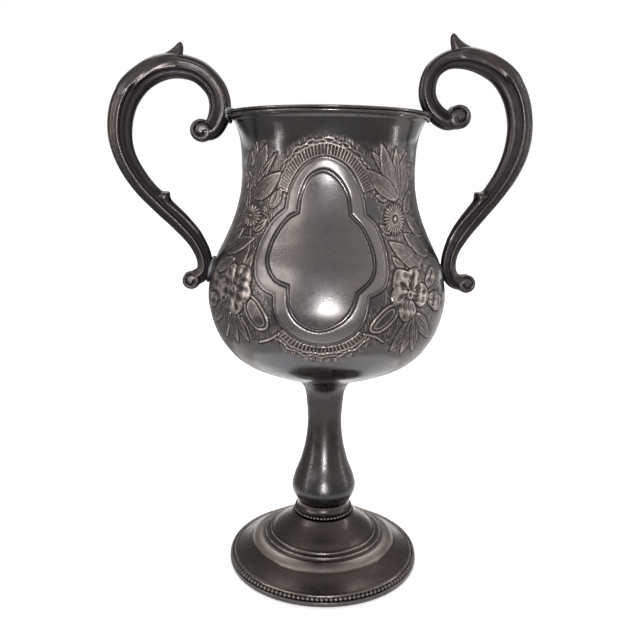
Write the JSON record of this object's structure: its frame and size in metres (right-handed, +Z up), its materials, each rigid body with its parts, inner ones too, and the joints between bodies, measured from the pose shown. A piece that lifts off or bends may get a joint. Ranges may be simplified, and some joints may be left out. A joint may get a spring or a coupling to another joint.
{
  "type": "two-handled loving cup trophy",
  "caption": "Waisted silver-plated cup with scroll handles on a baluster stem and a stepped foot edged with beads.",
  "frame": {"origin": "on the cup's axis, in the plane that the foot stands on", "axes": "+Z up along the cup's axis; +X towards the right handle, with both handles in the XZ plane; the front faces -Y"},
  "size_m": [0.1967, 0.1134, 0.2581],
  "materials": {
    "bowl_plate": "tarnished silver plate with chased ornament",
    "rim_plate": "tarnished silver plate, rubbed bright on its reeds",
    "handle_plate": "cast and plated, dark in its grooves",
    "stem_plate": "tarnished silver plate, fine turning marks",
    "foot_plate": "brown tarnish with worn plating on its high steps",
    "bead_plate": "beaded wire, rubbed bright on top",
    "solder": "dull grey soft solder",
    "brass": "dull aged brass"
  },
  "bodies": {
    "root": {"bowl": "bowl_plate", "rim_wire": "rim_plate", "handle_left": "handle_plate", "handle_right": "handle_plate", "solder_upper_left": "solder", "solder_lower_left": "solder", "solder_upper_right": "solder", "solder_lower_right": "solder", "stem": "stem_plate", "collar": "foot_plate", "collar_bead_wire": "bead_plate", "foot_dome": "foot_plate", "foot_bead_wire": "bead_plate", "foot_band": "foot_plate", "tie_bolt": "brass", "foot_washer": "brass", "foot_nut": "brass"}
  },
  "joints": []
}
